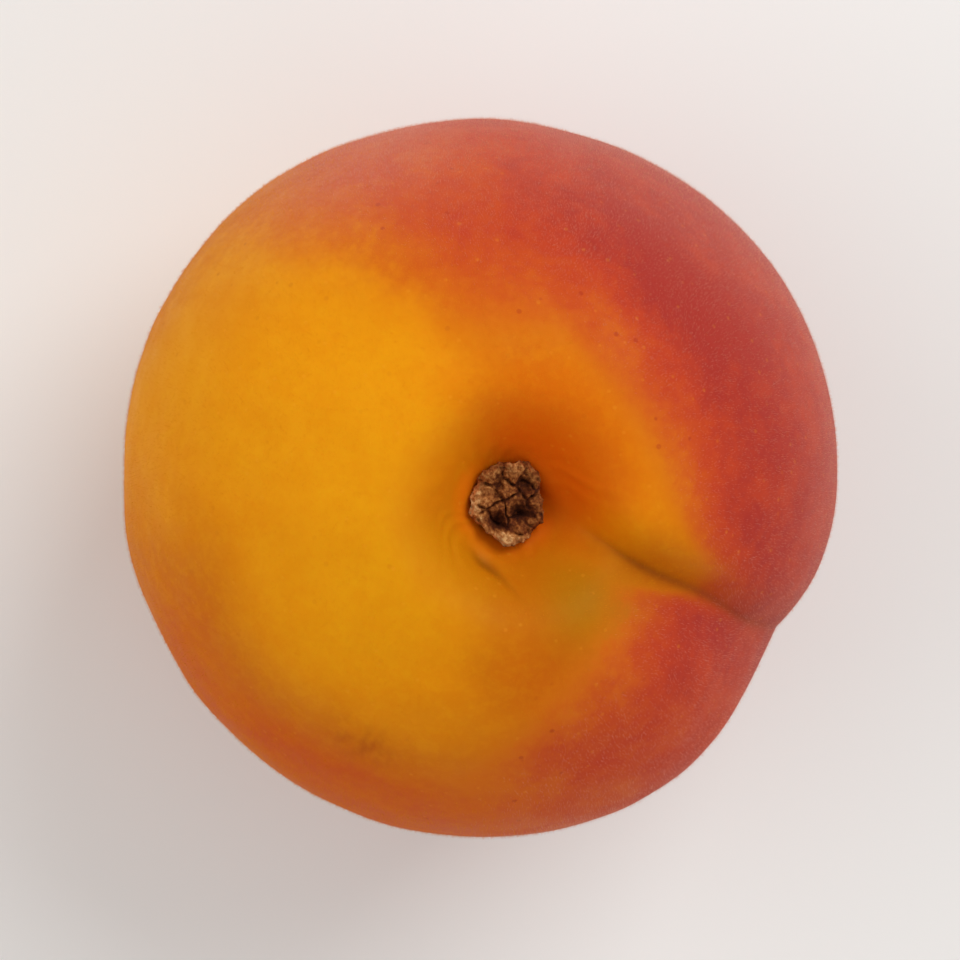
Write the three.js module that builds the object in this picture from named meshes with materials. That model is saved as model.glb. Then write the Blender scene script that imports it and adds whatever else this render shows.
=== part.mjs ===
// An apricot standing stem end up: the fruit, which grew in one piece, and the dry stub of its stem,
// which sits in the stem cavity. Millimetres, +Z up. The origin is the middle of the fruit's outline
// seen from above, on the surface that the fruit rests on. +X points to the suture, the groove that
// runs from the stem cavity down one side to the apex underneath, and +Y to the fuller cheek.
import * as THREE from "three";

// Driving dimensions of the fruit.
const CHEEK_WIDTH = 47.8; // from cheek to cheek, along Y
const HEIGHT = 46.5; // from the resting spot to the highest shoulder
const SHOULDER_FULLNESS = 0.035; // how square the shoulders are: 0 is an ellipse
const TAPER = 0.05; // how much narrower the apex end is than the stem end
const BACK_SHOULDER_RISE = 0.7; // how much the shoulder opposite the suture stands above the front one
const APEX_SHIFT = 1.1; // how far the apex end leans towards the suture

// Stem cavity: a funnel that opens on to the shoulders.
const CAVITY_DEPTH = 9; // at its axis, below the body's own top
const CAVITY_RADIUS = 5;
const CAVITY_POWER = 2.2;
const SHOULDER_DROP = 1.75; // the highest shoulder's depth below the body's own top
const SOCKET_RADIUS = 2.2; // the pit at the bottom of the funnel that holds the stub's root
const SOCKET_DEPTH = 1.4;

// Suture: a wide groove with a crease in its bottom, and the low side of the cheek next to it.
const GROOVE_AT_STEM = 2.1; // depths, into the body
const GROOVE_AT_EQUATOR = 0.26;
const GROOVE_AT_APEX = 0.7;
const GROOVE_STEEP_SIDE = 1.5; // half-widths, towards +Y and towards -Y
const GROOVE_GENTLE_SIDE = 3.6;
const GROOVE_OPENING = 0.7; // how much wider it is below the shoulder, as a share
const SHOULDER_WAVER = 0.45; // how far it strays from its plane, to either side
const CHEEK_BEND = 0.9; // towards -Y, from the shoulder down
const BELLY_BEND = 1.4; // towards +Y, under the belly
const CREASE_DEPTH = 0.3; // on the shoulder; about half of that on the cheeks
const CREASE_HALF_WIDTH = 0.8;
const LOW_CHEEK_DEPTH = 1.35;
const LOW_CHEEK_AT = -5.3 * THREE.MathUtils.DEG2RAD; // azimuth from the suture
const LOW_CHEEK_STEEP_SIDE = 15 * THREE.MathUtils.DEG2RAD;
const LOW_CHEEK_GENTLE_SIDE = 19.5 * THREE.MathUtils.DEG2RAD;

// Underside: the spot flattened by the fruit's own weight, with the apex in a dimple at its middle.
const SAG = 0.95; // how far the body's own bottom would reach below the surface
const SPOT_BLEND = 0.3; // height over which the spot rounds into the body
const DIMPLE_HEIGHT = 1.5;
const DIMPLE_RADIUS = 2.2;
const APEX_POINT_HEIGHT = 0.6; // the small point left by the flower's style
const APEX_POINT_RADIUS = 0.8;

// Dry stub of the stem.
const STUB_ROOT_RADIUS = 1.8;
const STUB_RADIUS = 2.45; // where it flares most, under its rim
const STUB_HEIGHT = 2.7; // its highest scale, above the bottom of the funnel
const STUB_TEAR = 0.5; // how far below that the rim lies on average
const STUB_HOLLOW = 0.3; // how far the middle lies below the rim
const STUB_PITS = [ // hollows where its torn top has dried out
  { x: -0.1, y: -1.5, radius: 0.55, depth: 1.3 },
  { x: 1.0, y: -0.35, radius: 0.6, depth: 1.2 },
  { x: 0.55, y: 1.4, radius: 0.45, depth: 0.8 },
];
const STUB_SEGMENTS = 60;
const GAP = 0.3; // between the stub and the fruit

// Fineness of the faceted solids.
const FACET = 1.6; // length of a facet on the cheeks
const MOST_SEGMENTS = 96; // round one ring
const LEAST_SEGMENTS = 24;
const CROWDING = 0.62; // how much closer together facets stand at the suture: 0 is evenly
const CAVITY_FACETS = 0.45; // lengths of the facets in the cavity and at the apex, as shares of FACET
const APEX_FACETS = 0.2;
const MOUTH_POLAR = 0.08; // polar angles of the socket's mouth, the first ring outside it and the last
const FIRST_POLAR = 0.13;
const LAST_POLAR = Math.PI - 0.012;

const HALF_HEIGHT = (HEIGHT + SHOULDER_DROP + SAG) / 2;
const CENTRE_HEIGHT = HEIGHT + SHOULDER_DROP - HALF_HEIGHT;

const bell = (x, width, power = 2) => Math.exp(-Math.pow(Math.abs(x) / width, power));
const lopsidedBell = (x, widthAbove, widthBelow, power = 2) =>
  bell(x, x > 0 ? widthAbove : widthBelow, power);
const smooth = (x, from, to) => THREE.MathUtils.smoothstep(x, from, to);
// The turn from one azimuth to another, between -PI and PI.
const turnBetween = (from, to) =>
  THREE.MathUtils.euclideanModulo(to - from + Math.PI, 2 * Math.PI) - Math.PI;

// Slow swellings of a real cheek: harmonics round the axis and along it. The first sets the stem a
// little off the middle of the outline.
function swelling(polar, azimuth) {
  const belt = Math.sin(polar) ** 2;
  const lean = Math.cos(polar);
  return belt * (0.51 * Math.cos(azimuth - 2.03)
    + 0.12 * Math.cos(2 * azimuth + 1.6)
    + 0.3 * lean * Math.cos(2 * azimuth - 1.1)
    + 0.15 * Math.cos(3 * azimuth - 2.9)
    + 0.08 * Math.cos(4 * azimuth + 2.2));
}

// How far the suture strays from its plane: it wavers on the shoulder, bends to one side down the
// cheek and to the other under the belly.
const sutureStray = (polar) =>
  SHOULDER_WAVER * Math.exp(-1.5 * polar) * Math.cos(12 * polar - 2.2)
  - CHEEK_BEND * smooth(polar, 0.25, 0.9) * (1 - smooth(polar, 1.3, 2.2))
  + BELLY_BEND * smooth(polar, 1.3, 2.2) * Math.sin(polar);

// How deep the suture lies below the body, at a point that far to the side of the suture's plane.
function sutureDepth(polar, azimuth, side) {
  const facing = smooth(Math.cos(azimuth), 0, 0.5);
  const down = polar / Math.PI;
  const y = side - sutureStray(polar);
  const grooveDepth = smooth(down, 0.02, 0.085) * smooth(1 - down, 0.02, 0.1)
    * (GROOVE_AT_EQUATOR
      + (GROOVE_AT_STEM - GROOVE_AT_EQUATOR) * (1 - smooth(down, 0.1, 0.42))
      + (GROOVE_AT_APEX - GROOVE_AT_EQUATOR) * smooth(down, 0.6, 0.85));
  const opening = 1 + GROOVE_OPENING * smooth(down, 0.2, 0.45);
  const groove = grooveDepth
    * lopsidedBell(y / opening, GROOVE_STEEP_SIDE, GROOVE_GENTLE_SIDE, 1.7);
  const crease = CREASE_DEPTH * smooth(down, 0.06, 0.14) * (1 - 0.55 * smooth(down, 0.2, 0.45))
    * smooth(1 - down, 0.04, 0.12)
    * bell(y, CREASE_HALF_WIDTH, 1.2);
  const fromLowCheek = turnBetween(LOW_CHEEK_AT, azimuth);
  const lowCheek = LOW_CHEEK_DEPTH * Math.sin(polar) ** 1.3
    * lopsidedBell(fromLowCheek, LOW_CHEEK_STEEP_SIDE, LOW_CHEEK_GENTLE_SIDE);
  return facing * (groove + crease) + lowCheek;
}

// Presses the body's bottom flat on to the surface z = 0, rounded where it leaves it.
function pressed(z) {
  if (z >= SPOT_BLEND) return z;
  if (z <= -SPOT_BLEND) return 0;
  return (z + SPOT_BLEND) ** 2 / (4 * SPOT_BLEND);
}

// The point of the skin at a polar angle from the stem and an azimuth from the suture.
function skinPoint(polar, azimuth) {
  const fuller = polar < Math.PI / 2 ? SHOULDER_FULLNESS : SHOULDER_FULLNESS / 3;
  const width = (CHEEK_WIDTH / 2) * (1 + TAPER * Math.cos(polar) * Math.sin(polar) ** 2);
  const bodyRadius = width * Math.sin(polar + fuller * Math.sin(2 * polar));
  const inwards = sutureDepth(polar, azimuth, bodyRadius * Math.sin(azimuth))
    - swelling(polar, azimuth);
  const radius = bodyRadius - inwards * Math.sin(polar);
  const lean = APEX_SHIFT * smooth(polar / Math.PI, 0.5, 1);
  let z = CENTRE_HEIGHT + (HALF_HEIGHT - inwards) * Math.cos(polar);
  if (polar < Math.PI / 2) {
    z -= CAVITY_DEPTH * bell(radius, CAVITY_RADIUS, CAVITY_POWER);
    z -= BACK_SHOULDER_RISE * Math.sin(2 * polar) * (1 + Math.cos(azimuth)) / 2;
  } else {
    z = pressed(z + DIMPLE_HEIGHT * bell(radius, DIMPLE_RADIUS)
      - APEX_POINT_HEIGHT * bell(radius, APEX_POINT_RADIUS));
  }
  return new THREE.Vector3(radius * Math.cos(azimuth) + lean, radius * Math.sin(azimuth), z);
}

// A closed surface through rings of points that all start at the same azimuth, with a cap at each end.
// Neighbouring rings may hold different numbers of points. The rings run from the top down.
function closedSkin(rings) {
  const points = rings.flat();
  const faces = [];
  const firsts = rings.map((_, k) => rings.slice(0, k).reduce((sum, ring) => sum + ring.length, 0));
  rings.slice(0, -1).forEach((upper, k) => {
    const lower = rings[k + 1];
    for (let i = 0, j = 0; i < upper.length || j < lower.length;) {
      const a = firsts[k] + (i % upper.length);
      const b = firsts[k + 1] + (j % lower.length);
      const nextUpper = (i + 1) / upper.length;
      const nextLower = (j + 1) / lower.length;
      if (j >= lower.length || (i < upper.length && nextUpper <= nextLower)) {
        i += 1;
        faces.push(a, b, firsts[k] + (i % upper.length));
      } else {
        j += 1;
        faces.push(a, b, firsts[k + 1] + (j % lower.length));
      }
    }
  });
  const cap = (ring, first, turn) => {
    const middle = ring.reduce((sum, p) => sum.add(p), new THREE.Vector3()).divideScalar(ring.length);
    ring.forEach((_, i) => {
      const edge = [first + i, first + ((i + 1) % ring.length)];
      faces.push(points.length, ...(turn ? edge.reverse() : edge));
    });
    points.push(middle);
  };
  cap(rings[0], 0, false);
  cap(rings.at(-1), firsts.at(-1), true);
  return new THREE.BufferGeometry().setFromPoints(points).setIndex(faces);
}

// Azimuths round a ring of that radius, closer together at the suture.
function azimuths(radius) {
  const count = THREE.MathUtils.clamp(
    Math.round((2 * Math.PI * radius) / FACET), LEAST_SEGMENTS, MOST_SEGMENTS);
  return Array.from({ length: count }, (_, i) => {
    const turn = (2 * Math.PI * i) / count;
    return turn - CROWDING * smooth(radius, 1.5, 9) * Math.sin(turn);
  });
}

const levelRing = (radius, z, angles) =>
  angles.map((a) => new THREE.Vector3(radius * Math.cos(a), radius * Math.sin(a), z));

// Polar angles of the fruit's rings: close in the cavity, wider on the cheeks, close at the apex.
function fruitPolars() {
  const polars = [];
  for (let polar = FIRST_POLAR; polar < LAST_POLAR;) {
    polars.push(polar);
    const radius = (CHEEK_WIDTH / 2) * Math.sin(polar);
    const share = APEX_FACETS
      + (CAVITY_FACETS - APEX_FACETS) * smooth(radius, 0.5, 3)
      + (1 - CAVITY_FACETS) * smooth(radius, 3, 15);
    polar += share * FACET / (CHEEK_WIDTH / 2);
  }
  return [...polars, LAST_POLAR];
}

const funnelBottom = skinPoint(MOUTH_POLAR, Math.PI).z; // the level ring round the socket's mouth

function fruitGeometry() {
  const mouth = azimuths(SOCKET_RADIUS);
  return closedSkin([
    levelRing(SOCKET_RADIUS, funnelBottom - SOCKET_DEPTH, mouth),
    levelRing(SOCKET_RADIUS, funnelBottom, mouth),
    ...fruitPolars().map((polar) => {
      const radius = (CHEEK_WIDTH / 2) * Math.sin(polar);
      return azimuths(radius).map((azimuth) => skinPoint(polar, azimuth));
    }),
  ]);
}

// The stub's outline: a share of its radius, uneven where its woody scales end.
const stubOutline = (a) => 1 + 0.07 * Math.cos(2 * a - 4) + 0.05 * Math.cos(3 * a + 1.9)
  + 0.045 * Math.cos(5 * a - 0.4) + 0.025 * Math.cos(11 * a + 1);

// The height of the stub's torn top above the bottom of the funnel, lower inside its rim.
function stubTop(x, y) {
  const a = Math.atan2(y, x);
  const rim = smooth(Math.hypot(x, y) / STUB_RADIUS, 0.4, 0.95);
  const tear = 0.28 * Math.cos(2 * a + 2.6) + 0.2 * Math.cos(3 * a - 0.8) + 0.14 * Math.cos(7 * a);
  const pits = STUB_PITS.reduce(
    (sum, pit) => sum + pit.depth * bell(Math.hypot(x - pit.x, y - pit.y), pit.radius), 0);
  return STUB_HEIGHT - STUB_TEAR + rim * tear - STUB_HOLLOW * (1 - rim) - pits;
}

// The stub from the middle of its torn top outwards, down its side and into its root.
function stubGeometry() {
  const angles = Array.from(
    { length: STUB_SEGMENTS }, (_, i) => (2 * Math.PI * i) / STUB_SEGMENTS);
  const ring = (share, height) => angles.map((a) => {
    const radius = share * STUB_RADIUS * (1 + smooth(share, 0.3, 1) * (stubOutline(a) - 1));
    const x = radius * Math.cos(a);
    const y = radius * Math.sin(a);
    return new THREE.Vector3(x, y, funnelBottom + height(x, y));
  });
  return closedSkin([
    ...[0.12, 0.26, 0.4, 0.53, 0.65, 0.76, 0.86, 0.94].map((share) => ring(share, stubTop)),
    ring(1, (x, y) => stubTop(x, y) - STUB_HOLLOW),
    ring(0.95, () => 0.6 * STUB_HEIGHT),
    ring(0.8, () => 0.33 * STUB_HEIGHT),
    levelRing(STUB_ROOT_RADIUS, funnelBottom, angles),
    levelRing(STUB_ROOT_RADIUS, funnelBottom + GAP - SOCKET_DEPTH, angles),
  ]);
}

function named(name, geometry, color, roughness) {
  const mesh = new THREE.Mesh(
    geometry, new THREE.MeshStandardMaterial({ color, roughness, metalness: 0 }));
  mesh.name = name;
  return mesh;
}

const apricot = new THREE.Group();
apricot.add(named("fruit", fruitGeometry(), 0xe39a1f, 0.6));
apricot.add(named("stem_stub", stubGeometry(), 0x6b4526, 0.9));

// Sets the origin at the middle of the outline.
const outline = new THREE.Box3().setFromObject(apricot).getCenter(new THREE.Vector3());
apricot.position.set(-outline.x, -outline.y, 0);

export default apricot;
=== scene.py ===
# Looks of an apricot standing stem end up on a pale floor: its downy skin, its stem stub, the light.
# Lengths are in millimetres until a mesh is made. +Z points to the stem, +X to the suture, +Y to the
# fuller cheek, as in the frame. Polar angles count from the stem, azimuths from the suture. Angles are
# in radians where no comment says degrees.
import math

import bpy
import numpy as np
from mathutils import Matrix, Vector


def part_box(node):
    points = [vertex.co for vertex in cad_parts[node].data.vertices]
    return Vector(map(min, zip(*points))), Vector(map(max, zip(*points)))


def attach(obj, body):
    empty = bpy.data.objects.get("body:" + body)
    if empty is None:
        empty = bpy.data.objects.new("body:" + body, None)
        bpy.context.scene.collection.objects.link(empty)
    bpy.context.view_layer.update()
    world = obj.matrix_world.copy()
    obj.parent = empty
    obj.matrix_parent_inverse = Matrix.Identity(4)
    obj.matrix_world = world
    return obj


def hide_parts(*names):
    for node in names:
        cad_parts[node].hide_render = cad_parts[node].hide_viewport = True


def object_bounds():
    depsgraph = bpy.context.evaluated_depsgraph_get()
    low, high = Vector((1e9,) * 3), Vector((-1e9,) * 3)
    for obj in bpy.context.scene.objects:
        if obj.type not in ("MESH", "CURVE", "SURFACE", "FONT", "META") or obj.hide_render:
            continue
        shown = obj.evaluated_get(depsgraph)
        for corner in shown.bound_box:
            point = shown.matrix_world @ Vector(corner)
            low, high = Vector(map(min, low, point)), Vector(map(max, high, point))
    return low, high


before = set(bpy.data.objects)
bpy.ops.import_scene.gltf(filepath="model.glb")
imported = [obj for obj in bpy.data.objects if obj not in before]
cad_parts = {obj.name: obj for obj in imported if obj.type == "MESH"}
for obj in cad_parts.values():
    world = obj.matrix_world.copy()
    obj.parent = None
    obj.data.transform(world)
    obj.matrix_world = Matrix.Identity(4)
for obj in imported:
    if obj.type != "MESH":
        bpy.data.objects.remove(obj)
cad_low, cad_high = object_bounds()

MM = 0.001

# Seeds of the random patterns. A pattern made of several parts counts on from its own.
LUMP_SEED = 20
FOLD_SEED = 27
SCUFF_SEED = 32
HAIR_FLOW_SEED = 50
STUB_SEED = 70
PLATE_SEED = 80
DOWN_SEED = 120

# The fruit's shape: the names and values of its solid's own source.
CHEEK_WIDTH = 47.8
HEIGHT = 46.5
SHOULDER_FULLNESS = 0.035
TAPER = 0.05
BACK_SHOULDER_RISE = 0.7
APEX_SHIFT = 1.1
CAVITY_DEPTH = 9.0
CAVITY_RADIUS = 5.0
CAVITY_POWER = 2.2
SHOULDER_DROP = 1.75
GROOVE_AT_STEM = 2.1
GROOVE_AT_EQUATOR = 0.26
GROOVE_AT_APEX = 0.7
GROOVE_STEEP_SIDE = 1.5
GROOVE_GENTLE_SIDE = 3.6
GROOVE_OPENING = 0.7
SHOULDER_WAVER = 0.45
CHEEK_BEND = 0.9
BELLY_BEND = 1.4
CREASE_DEPTH = 0.3
CREASE_HALF_WIDTH = 0.8
LOW_CHEEK_DEPTH = 1.35
LOW_CHEEK_AT = math.radians(-5.3)
LOW_CHEEK_STEEP_SIDE = math.radians(15)
LOW_CHEEK_GENTLE_SIDE = math.radians(19.5)
SAG = 0.95
SPOT_BLEND = 0.3
DIMPLE_HEIGHT = 1.5
DIMPLE_RADIUS = 2.2
APEX_POINT_HEIGHT = 0.6
APEX_POINT_RADIUS = 0.8
HALF_HEIGHT = (HEIGHT + SHOULDER_DROP + SAG) / 2
CENTRE_HEIGHT = HEIGHT + SHOULDER_DROP - HALF_HEIGHT

# Relief that only the looks have.
LUMPS = ((9.0, 0.07), (4.5, 0.025))  # wavelengths and heights of the skin's slight unevenness
STEM_FOLDS = 17  # fine folds that run down into the stem cavity
STEM_FOLD_DEPTH = 0.06
STEM_FOLD_RADIUS = 3  # where they are strongest
STEM_FOLD_STRAY = 6  # how far they stray to the sides
STEM_FOLD_WAVES = (7, 4)  # lengths over which they stray and fade
STUB_SEAL = 0.4  # how far the skin rises against the stub, which has grown into it
STUB_SEAL_RADIUS = 2.6
CRESCENT_DEPTH = 0.35  # a short curved fold beside the stem
CRESCENT_WIDTH = 0.5
CRESCENT_SHADE_WIDTH = 0.34
CRESCENT_AT = 273  # degrees
CRESCENT_RADIUS = 3.9  # its distance from the axis there
CRESCENT_SLANT = 0.6  # millimetres a radian that it leaves the axis towards growing azimuths
CRESCENT_BEND = 8  # how fast that grows past CRESCENT_AT
CRESCENT_HALF_LENGTH = 0.3  # as an angle
GASH_DEPTH = 0.45  # the cleft between the stub and the start of the suture
GASH_RADIUS = 3.5
GASH_AT = 14  # degrees
RELIEF_FROM = 0.2  # heights above the floor between which the relief sets in
RELIEF_FULL = 2.5

# The blush. Angles in degrees, from the stem or away from BLUSH_AT.
BLUSH_AT = 20
BLUSH_EDGE = 23  # where the red begins at BLUSH_AT
BLUSH_SINK = 25  # how much lower it begins at the two angles below
BLUSH_REACH = 134  # towards the fuller cheek
BLUSH_LOW_REACH = 109  # towards the low cheek
BLUSH_BLEND = (9, 17)  # how far its edge blends, up and down
BLUSH_FAINT_BLEND = (21, 7)  # what that gains where the blush is faint
TONGUE = 15  # how much lower it begins beside the suture, on the fuller cheek's side
TONGUE_WIDTHS = (3.2, 1.1)  # millimetres, towards the fuller cheek and away from it

# Scuff on the shoulder.
SCUFF_POLAR = math.radians(46)
SCUFF_AT = 263.5  # degrees
SCUFF_LENGTH = 3.4
SCUFF_WIDTH = 3.8
SCUFF_STREAK = 0.62  # from one streak to the next
SCUFF_STREAK_STRAY = 2.5
SCUFF_WAVES = (3, 1.7)  # lengths over which the streaks stray and are worn away
SCUFF_BETWEEN_STREAKS = 0.4  # its strength there

# Fineness of the skin's grid.
SKIN_RINGS = 236
SKIN_COLUMNS = 400
CROWDING = 0.5  # how much closer together columns stand at the suture
CAVITY_FINENESS = 1.3  # how much closer together rings stand in the stem cavity
FIRST_POLAR = 0.02
LAST_POLAR = math.pi - 0.012

# Dry stub of the stem.
STUB_RADIUS = 2.45
STUB_HEIGHT = 2.7  # its highest scale, above the bottom of the funnel
STUB_TEAR = 0.5  # how far below that the rim lies on average
STUB_HOLLOW = 0.3  # how far the middle lies below the rim
STUB_PITS = (  # x, y, radius and depth of hollows where its torn top has dried out
    (-0.1, -1.5, 0.55, 1.3),
    (1.0, -0.35, 0.6, 1.2),
    (0.55, 1.4, 0.45, 0.8),
)
# Waves of its outline, as shares of its radius, and of its rim: height, number round it and phase.
STUB_OUTLINE = ((0.07, 2, -4), (0.05, 3, 1.9), (0.045, 5, -0.4), (0.025, 11, 1))
STUB_RIM = ((0.28, 2, 2.6), (0.2, 3, -0.8), (0.14, 7, 0))
STUB_RIM_DROP = 0.3  # how far the very edge is worn down
STUB_FLAKES_AT = (207, 281)  # where its rim is torn into pale flakes, in degrees
STUB_FLAKE_SPREAD = 0.38
STUB_FLAKE_RISE = 0.25
STUB_LIGHTNESS = 0.38  # of its wood, from 0 to 1 along the colours of WOOD
STUB_GOLDEN_AT = 2.4  # azimuth of its lighter side
STUB_PLATES = 13  # of torn wood, in a spiral from its middle
STUB_PLATE_TURN = 2.4  # from one plate to the next, about the golden angle
STUB_PLATE_DISORDER = 0.35
STUB_PLATE_STEP = 0.22  # how far a plate lies above or below the rest
STUB_PLATE_SHADES = (-0.1, 0.14)
STUB_CRACK_DEPTH = 0.36
STUB_CRACK_WIDTH = 0.3
STUB_WARP = 0.2  # how crooked the cracks are
STUB_WARP_LENGTH = 1.2
STUB_RAGGED = 0.07  # height and length of its ragged fibres
STUB_RAGGED_LENGTH = 0.38
STUB_FIBRES = 17  # teeth round the rim
STUB_FIBRE_HEIGHT = 0.12
STUB_RIBS = 23  # round the side
STUB_RIB_HEIGHT = 0.035
STUB_TOP_RINGS = 43
STUB_SIDE_RINGS = 27
STUB_COLUMNS = 168

# Down.
HAIRS_A_MM2 = 19
DOWNY_AT = 108  # degrees: where the down is thickest
DOWNY_SPREAD = 0.9
DOWNY_TIMES = 2.1  # how many times as thick it is there
PALE_FROM = 0.2  # strengths of the blush between which golden hairs give way to pale ones
PALE_FULL = 0.55
MOST_HAIRS = 48000  # in one piece
HAIR_LENGTHS = (0.1, 0.26)
HAIR_WIDTH = 0.014
HAIR_SINK = 0.03
HAIR_LEAN = 0.45
HAIR_FLOW = (7, 0.7)  # size and share of the swirls in which the hairs lean
HAIR_DISORDER = 0.6
HAIRLESS_HEIGHT = 0.7  # no hairs below this, where the fruit rests
HAIRLESS_RADIUS = 3.2  # nor closer to the stem than this

# Camera: how far it leans from straight above, and the image's upright.
VIEW_LEAN = math.radians(7)
VIEW_AZIMUTH = math.radians(172)
SUTURE_IN_IMAGE = math.radians(-23.5)  # image direction of +X, counter-clockwise from the right
LENS = 150.0
SENSOR = 36.0
FRUIT_SHARE = 0.74  # of the image's width
AIM_RIGHT = 0.7  # from the box's centre to the middle of the outline that the camera sees
AIM_DOWN = 0.5
NEAREST_VIEW = 0.01  # metres

# Studio, in metres and watts. A lamp's place is how far it stands from the fruit's centre: to the
# image's right, up in the image and above.
STUDIO_COLOR = (1.0, 0.985, 0.965, 1.0)
STUDIO_STRENGTH = 0.5
FLOOR_SIZE = 3
LAMPS = {  # place, size and power
    "key": ((0.24, 0.32, 0.42), 0.34, 1.6),
    "fill": ((-0.44, 0.06, 0.38), 0.5, 0.75),
    "side": ((0.32, -0.3, 0.15), 0.3, 0.2),
}


# ---------------------------------------------------------------- shape

def smooth(x, low, high):
    """0 up to the low value, 1 from the high one on, and a smooth rise between them."""
    t = np.clip((x - low) / (high - low), 0, 1)
    return t * t * (3 - 2 * t)


def bell(x, width, power=2.0):
    """1 at 0, about a third at the width, 0 far from it. A higher power gives steeper sides."""
    return np.exp(-np.power(np.abs(x) / width, power))


def lopsided_bell(x, width_above, width_below, power=2.0):
    return bell(x, np.where(x > 0, width_above, width_below), power)


def turn_from(azimuth, degrees):
    """Signed angle from an azimuth that is given in degrees, between -pi and pi."""
    return np.mod(azimuth - math.radians(degrees) + math.pi, 2 * math.pi) - math.pi


def toward(azimuth, degrees, spread, power=2.0):
    """1 at an azimuth that is given in degrees, 0 far from it."""
    return bell(turn_from(azimuth, degrees), spread, power)


def ripples(angle, table):
    """Waves round an axis: the table gives each one's height, how many it makes, and its phase."""
    return sum(height * np.cos(count * angle + phase) for height, count, phase in table)


def waves(points, wavelength, seed, count=24):
    """Smooth noise of about -1 to 1: plane waves in seeded directions."""
    rng = np.random.default_rng(seed)
    directions = rng.normal(size=(count, 3))
    directions /= np.linalg.norm(directions, axis=1)[:, None]
    numbers = directions * (2 * math.pi / (wavelength * rng.uniform(0.75, 1.35, count)))[:, None]
    phases = rng.uniform(0, 2 * math.pi, count)
    total = np.zeros(points.shape[:-1])
    for number, phase in zip(numbers, phases):
        total += np.cos(points @ number + phase)
    return total / math.sqrt(count / 2) / 1.6


def swelling(polar, azimuth):
    """Slow swellings of a real cheek: harmonics round the axis and along it."""
    belt = np.sin(polar) ** 2
    lean = np.cos(polar)
    return belt * (0.51 * np.cos(azimuth - 2.03)
                   + 0.12 * np.cos(2 * azimuth + 1.6)
                   + 0.3 * lean * np.cos(2 * azimuth - 1.1)
                   + 0.15 * np.cos(3 * azimuth - 2.9)
                   + 0.08 * np.cos(4 * azimuth + 2.2))


def suture_stray(polar):
    """How far the suture strays from its plane: it wavers on the shoulder and bends down the cheek."""
    return (SHOULDER_WAVER * np.exp(-1.5 * polar) * np.cos(12 * polar - 2.2)
            - CHEEK_BEND * smooth(polar, 0.25, 0.9) * (1 - smooth(polar, 1.3, 2.2))
            + BELLY_BEND * smooth(polar, 1.3, 2.2) * np.sin(polar))


def suture_depth(polar, azimuth, side):
    """How deep the suture lies below the body, at points that far to the side of its plane."""
    facing = smooth(np.cos(azimuth), 0, 0.5)
    down = polar / math.pi
    y = side - suture_stray(polar)
    groove_depth = (smooth(down, 0.02, 0.085) * smooth(1 - down, 0.02, 0.1)
                    * (GROOVE_AT_EQUATOR
                       + (GROOVE_AT_STEM - GROOVE_AT_EQUATOR) * (1 - smooth(down, 0.1, 0.42))
                       + (GROOVE_AT_APEX - GROOVE_AT_EQUATOR) * smooth(down, 0.6, 0.85)))
    opening = 1 + GROOVE_OPENING * smooth(down, 0.2, 0.45)
    groove = groove_depth * lopsided_bell(y / opening, GROOVE_STEEP_SIDE, GROOVE_GENTLE_SIDE, 1.7)
    crease = (CREASE_DEPTH * smooth(down, 0.06, 0.14) * (1 - 0.55 * smooth(down, 0.2, 0.45))
              * smooth(1 - down, 0.04, 0.12) * bell(y, CREASE_HALF_WIDTH, 1.2))
    low_cheek = (LOW_CHEEK_DEPTH * np.sin(polar) ** 1.3
                 * lopsided_bell(azimuth - LOW_CHEEK_AT, LOW_CHEEK_STEEP_SIDE,
                                 LOW_CHEEK_GENTLE_SIDE))
    return facing * (groove + crease) + low_cheek


def pressed(z):
    """Presses the bottom flat on to the surface z = 0, rounded where it leaves it."""
    rounded = (z + SPOT_BLEND) ** 2 / (4 * SPOT_BLEND)
    return np.where(z >= SPOT_BLEND, z, np.where(z <= -SPOT_BLEND, 0, rounded))


def skin_points(polar, azimuth):
    """Points of the plain skin for arrays of polar angles and azimuths from -pi to pi."""
    upper = polar < math.pi / 2
    fuller = np.where(upper, SHOULDER_FULLNESS, SHOULDER_FULLNESS / 3)
    width = CHEEK_WIDTH / 2 * (1 + TAPER * np.cos(polar) * np.sin(polar) ** 2)
    body_radius = width * np.sin(polar + fuller * np.sin(2 * polar))
    inwards = (suture_depth(polar, azimuth, body_radius * np.sin(azimuth))
               - swelling(polar, azimuth))
    radius = body_radius - inwards * np.sin(polar)
    lean = APEX_SHIFT * smooth(polar / math.pi, 0.5, 1)
    z = CENTRE_HEIGHT + (HALF_HEIGHT - inwards) * np.cos(polar)
    stem_end = (z - CAVITY_DEPTH * bell(radius, CAVITY_RADIUS, CAVITY_POWER)
                - BACK_SHOULDER_RISE * np.sin(2 * polar) * (1 + np.cos(azimuth)) / 2)
    apex_end = pressed(z + DIMPLE_HEIGHT * bell(radius, DIMPLE_RADIUS)
                       - APEX_POINT_HEIGHT * bell(radius, APEX_POINT_RADIUS))
    z = np.where(upper, stem_end, apex_end)
    return np.stack([radius * np.cos(azimuth) + lean, radius * np.sin(azimuth), z], axis=-1)


def grid_normals(points):
    """Unit normals of a grid of points [ring, column] that closes round its columns."""
    along = np.gradient(points, axis=0)
    around = np.roll(points, -1, axis=1) - np.roll(points, 1, axis=1)
    normals = np.cross(along, around)
    length = np.linalg.norm(normals, axis=-1, keepdims=True)
    return normals / np.maximum(length, 1e-12)


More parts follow.
